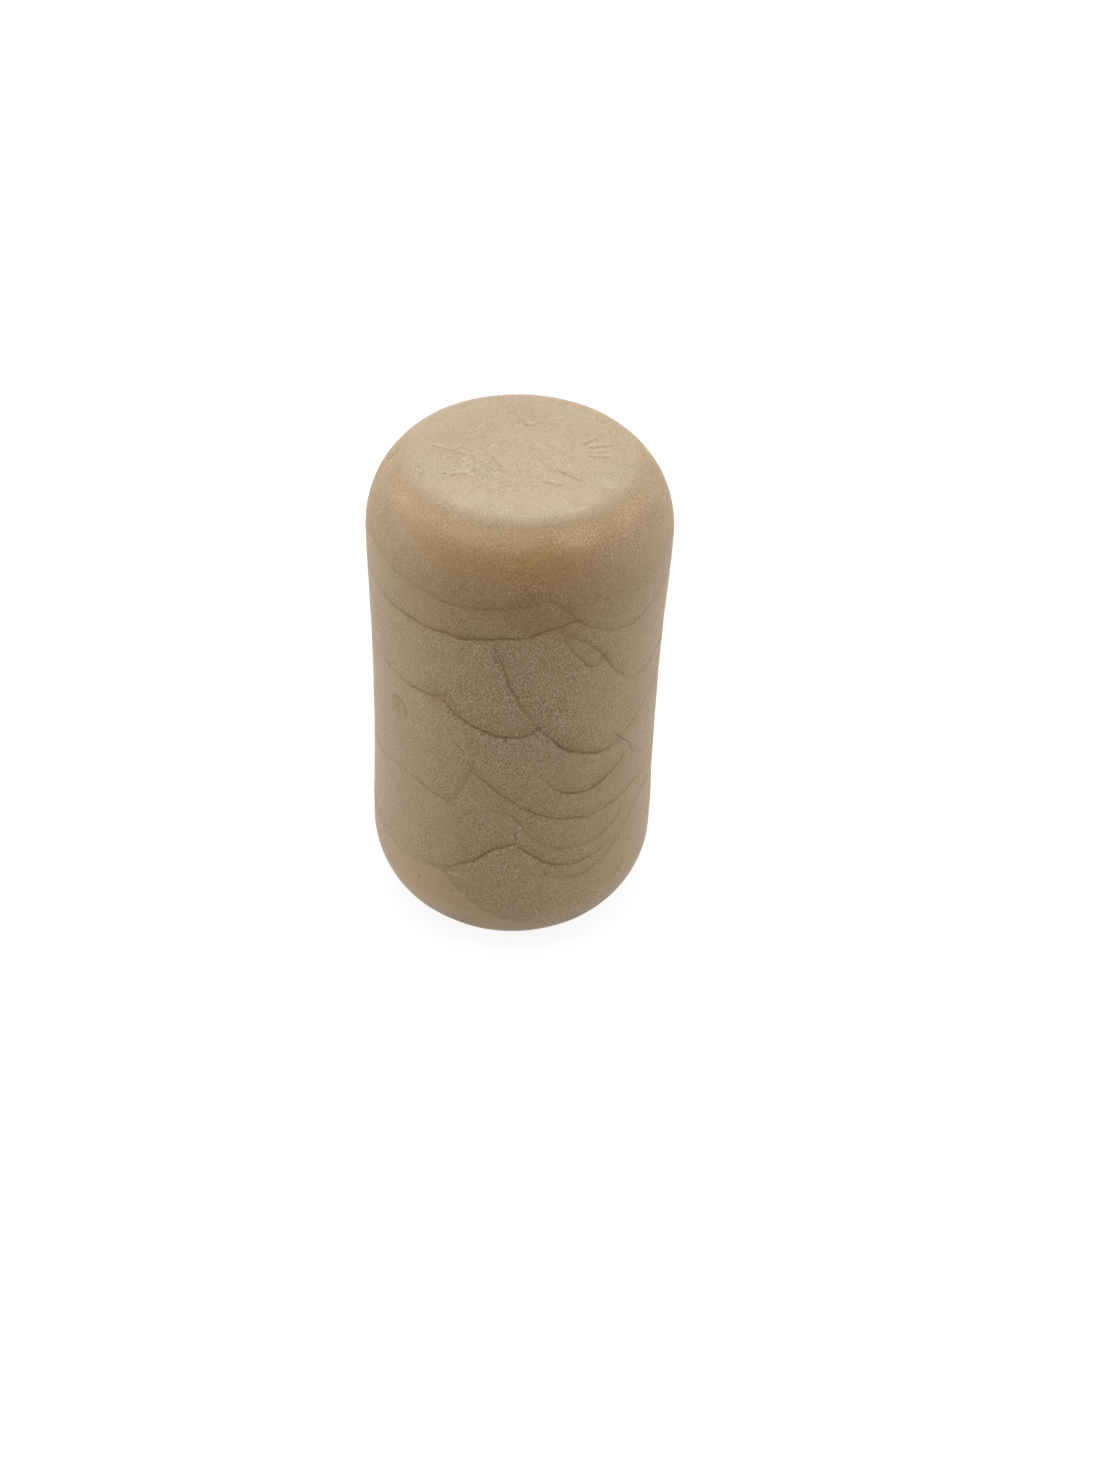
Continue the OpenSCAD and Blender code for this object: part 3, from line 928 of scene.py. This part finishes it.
# The wrinkles' amber stains, and the hair-fine dark scratches.
stain_colour = (0.50, 0.28, 0.11)
scratch_colour = (0.09, 0.07, 0.05)
scratch_share = 0.8
stain_cloud = range_node(tree, worms, 0.3, 0.6, 0.12, 0.5)
stained = product(tree, attribute_node(tree, "stain"), stain_cloud)
colour = mix_node(tree, stained, colour, stain_colour)
hair = fold_look("scratch", attribute_node(tree, "scratch_mark"), 0.035)["Line"]
colour = mix_node(tree, product(tree, hair, scratch_share), colour, scratch_colour)

# The bubble's dent is dusky inside its edge and a little darker all over, with a pale
# line just outside the edge.
dent_shade_tint = (0.66, 0.58, 0.45)
dent_line_tint = (0.95, 0.92, 0.87)
dent_fill_tint = (0.955, 0.94, 0.90)
dent_edge_colour = (0.70, 0.60, 0.47)
dent_edge_share = 0.45
dent_edge_out = 0.07
dent_shows = attribute_node(tree, "bubble_mark")
inside_mm = attribute_node(tree, "bubble")
dent = fold_look("bubble", dent_shows, 0.06)
colour = mix_node(tree, dent["Above"], colour, dent_shade_tint, "MULTIPLY")
colour = mix_node(tree, dent["Line"], colour, dent_line_tint, "MULTIPLY")
dent_fill = range_node(tree, inside_mm, -0.05, 0.2)
colour = mix_node(tree, dent_fill, colour, dent_fill_tint, "MULTIPLY")
off_edge = math_node(tree, "ABSOLUTE", math_node(tree, "ADD", inside_mm, dent_edge_out))
edge = product(tree, range_node(tree, off_edge, 0.07, 0.02), dent_shows)
colour = mix_node(tree, product(tree, edge, dent_edge_share), colour, dent_edge_colour)

# Pale grazes.
graze_colour = (0.72, 0.62, 0.47)
graze_share = 0.5
graze = fold_look("graze", attribute_node(tree, "graze_mark"), 0.06)["Line"]
colour = mix_node(tree, product(tree, graze, graze_share), colour, graze_colour)


def spot_mask(at_azimuth, out, at_height, across_mm, soft_mm):
    """A round spot: one within its radius, and nought past a soft edge.

    Its middle is out mm from the axis, at an azimuth in degrees and a height in mm.
    """
    at = math.radians(at_azimuth)
    middle = (out * math.sin(at) * mm, -out * math.cos(at) * mm, at_height * mm + box_low[2])
    away = vector_node(tree, "DISTANCE", coordinates, middle)["Value"]
    return range_node(tree, away, (across_mm / 2 + soft_mm) * mm, across_mm / 2 * mm)


# Specks on the side: each has its azimuth in degrees, its height, width and softness in
# mm, how much it covers, and its colour. Dark ones are grit, pale ones dust, and the
# others are soft amber stains.
side_specks = [
    (3.2, 13.2, 0.2, 0.14, 0.5, (0.80, 0.72, 0.60)),
    (2.3, 12.2, 0.12, 0.08, 0.5, (0.12, 0.09, 0.06)),
    (79.8, 10.1, 0.16, 0.05, 0.8, (0.12, 0.09, 0.07)),
    (-16.5, 18.5, 0.12, 0.08, 0.5, (0.16, 0.11, 0.07)),
    (-39.5, 6.0, 0.2, 0.08, 0.6, (0.14, 0.10, 0.06)),
    (34, 27.5, 0.4, 0.5, 0.35, (0.40, 0.22, 0.12)),
    (-31.5, 23.4, 0.5, 0.5, 0.35, (0.42, 0.24, 0.13)),
    (12.5, 31.2, 0.6, 1.1, 0.35, (0.42, 0.23, 0.11)),
    (20.5, 30.3, 0.4, 0.7, 0.3, (0.42, 0.23, 0.11)),
    (29.5, 30.5, 0.3, 0.5, 0.25, (0.42, 0.23, 0.11)),
    (-16.5, 33.8, 0.06, 0.08, 0.3, (0.90, 0.84, 0.72)),
    (-3, 33.9, 0.08, 0.08, 0.4, (0.90, 0.84, 0.72)),
    (18.5, 30.1, 0.3, 0.7, 0.4, (0.42, 0.22, 0.10)),
    (25, 30.9, 0.2, 0.5, 0.3, (0.42, 0.22, 0.10)),
    (57.8, 30.35, 0.1, 0.07, 0.45, (0.90, 0.84, 0.72)),
    (-76.4, 24.4, 0.14, 0.08, 0.45, (0.16, 0.13, 0.10)),
]
for at_azimuth, at_height, wide, soft, cover, speck_colour in side_specks:
    out = float(np.interp(at_height, section_z[::-1], section_r[::-1]))
    speck = spot_mask(at_azimuth, out, at_height, wide, soft)
    colour = mix_node(tree, product(tree, speck, cover), colour, speck_colour)

# One more dark speck lies on the upper end, where the dish begins.
end_speck_r = 5.8
end_speck_sunk = 0.07
end_speck_cover = 0.8
end_speck_colour = (0.10, 0.07, 0.05)
end_speck = spot_mask(-61.5, end_speck_r, body_len - end_speck_sunk, 0.13, 0.06)
colour = mix_node(tree, product(tree, end_speck, end_speck_cover), colour, end_speck_colour)
feed(tree, principled.inputs["Base Color"], colour)

# Satin, and glossier on the light flecks.
dark_fleck_roughness = 0.56
light_fleck_roughness = 0.42
satin = range_node(tree, fleck, 0.3, 0.7, dark_fleck_roughness, light_fleck_roughness)
feed(tree, principled.inputs["Roughness"], satin)
principled.inputs["IOR"].default_value = 1.45
principled.inputs["Specular IOR Level"].default_value = 0.5

# Relief too fine for the mesh, in mm: the flecks, the bottom of each fold line, the net
# of the crinkled skin, and the scratches.
fleck_height = 0.06
fine_relief = product(tree, product(tree, fleck, grain), fleck_height)
for mark, rise in ((line, -0.015), (ridge, 0.02), (groove, -0.015), (hair, -0.03)):
    fine_relief = math_node(tree, "MULTIPLY_ADD", mark, rise, fine_relief)
bump = nodes.new("ShaderNodeBump")
bump.inputs["Strength"].default_value = 1.0
bump.inputs["Distance"].default_value = mm
feed(tree, bump.inputs["Height"], fine_relief)
feed(tree, principled.inputs["Normal"], bump.outputs["Normal"])
stopper_mesh.materials.append(skin)

# --- Floor -------------------------------------------------------------------
# A wide sheet of white card. It shows as plain white, and keeps a trace of the
# stopper's shadow.
floor_half = 1.5
corner_signs = ((-1, -1), (1, -1), (1, 1), (-1, 1))
floor_corners = [(floor_half * right, floor_half * back, 0) for right, back in corner_signs]
floor_mesh = bpy.data.meshes.new("floor")
floor_mesh.from_pydata(floor_corners, [], [(0, 1, 2, 3)])
floor = bpy.data.objects.new("floor", floor_mesh)
bpy.context.collection.objects.link(floor)

# The card lights the stopper as plain white card does. Where it is seen, a small matt
# share takes the shadow. The card's own light fills up the rest, and rises to full white
# between 0.10 and 0.24 m from the stopper.
card_white = (0.8, 0.8, 0.8, 1)
shadow_share = (0.22, 0.22, 0.22, 1)
glow_near = 0.9
glow_rise = (0.10, 0.24)
card = bpy.data.materials.new("white_card")
card.use_nodes = True
card_tree = card.node_tree
card_tree.nodes.clear()
card_out = card_tree.nodes.new("ShaderNodeOutputMaterial")
plain = card_tree.nodes.new("ShaderNodeBsdfDiffuse")
plain.inputs["Color"].default_value = card_white
faint = card_tree.nodes.new("ShaderNodeBsdfDiffuse")
faint.inputs["Color"].default_value = shadow_share
glow = card_tree.nodes.new("ShaderNodeEmission")
glow.inputs["Color"].default_value = (1, 1, 1, 1)
card_coordinates = card_tree.nodes.new("ShaderNodeTexCoord").outputs["Object"]
from_stopper = vector_node(card_tree, "LENGTH", card_coordinates)["Value"]
card_glow = range_node(card_tree, from_stopper, *glow_rise, glow_near, 1.0)
feed(card_tree, glow.inputs["Strength"], card_glow)
seen_card = card_tree.nodes.new("ShaderNodeAddShader")
feed(card_tree, seen_card.inputs[0], faint.outputs[0])
feed(card_tree, seen_card.inputs[1], glow.outputs[0])


def seen_rays(tree):
    """One where the eye looks, straight on, mirrored or through, and nought for light."""
    rays = tree.nodes.new("ShaderNodeLightPath").outputs
    straight_or_mirrored = math_node(tree, "MAXIMUM", rays["Is Camera Ray"], rays["Is Glossy Ray"])
    return math_node(tree, "MAXIMUM", straight_or_mirrored, rays["Is Transmission Ray"])


choose = card_tree.nodes.new("ShaderNodeMixShader")
feed(card_tree, choose.inputs[0], seen_rays(card_tree))
feed(card_tree, choose.inputs[1], plain.outputs[0])
feed(card_tree, choose.inputs[2], seen_card.outputs[0])
feed(card_tree, card_out.inputs["Surface"], choose.outputs[0])
floor_mesh.materials.append(card)

# --- Studio light ------------------------------------------------------------
# Large soft lamps: one overhead, one on each side, and a weak one behind. The room
# around them is white. Each lamp has its place and its width in metres, and its watts.
lamps = [
    ("overhead", (0.0, 0.02, 0.36), 0.34, 0.97),
    ("behind", (0.0, 0.36, 0.18), 0.26, 0.13),
    ("left", (-0.34, 0.03, 0.10), 0.26, 0.38),
    ("right", (0.34, 0.05, 0.10), 0.26, 0.32),
]
aim = Vector((0, 0, half_len * mm))
for name, at, size, watts in lamps:
    lamp_data = bpy.data.lights.new(name, "AREA")
    lamp_data.shape = "SQUARE"
    lamp_data.size = size
    lamp_data.energy = watts
    lamp = bpy.data.objects.new(name, lamp_data)
    bpy.context.collection.objects.link(lamp)
    lamp.location = at
    lamp.rotation_euler = (Vector(at) - aim).to_track_quat("Z", "Y").to_euler()

# The room is seen as full white, and lights the stopper with a small share of that.
room_light = 0.08
room = bpy.data.worlds.new("room")
bpy.context.scene.world = room
room.use_nodes = True
room_tree = room.node_tree
background = room_tree.nodes["Background"]
background.inputs["Color"].default_value = (1, 1, 1, 1)
room_strength = math_node(
    room_tree, "MULTIPLY_ADD", seen_rays(room_tree), 1 - room_light, room_light
)
feed(room_tree, background.inputs["Strength"], room_strength)
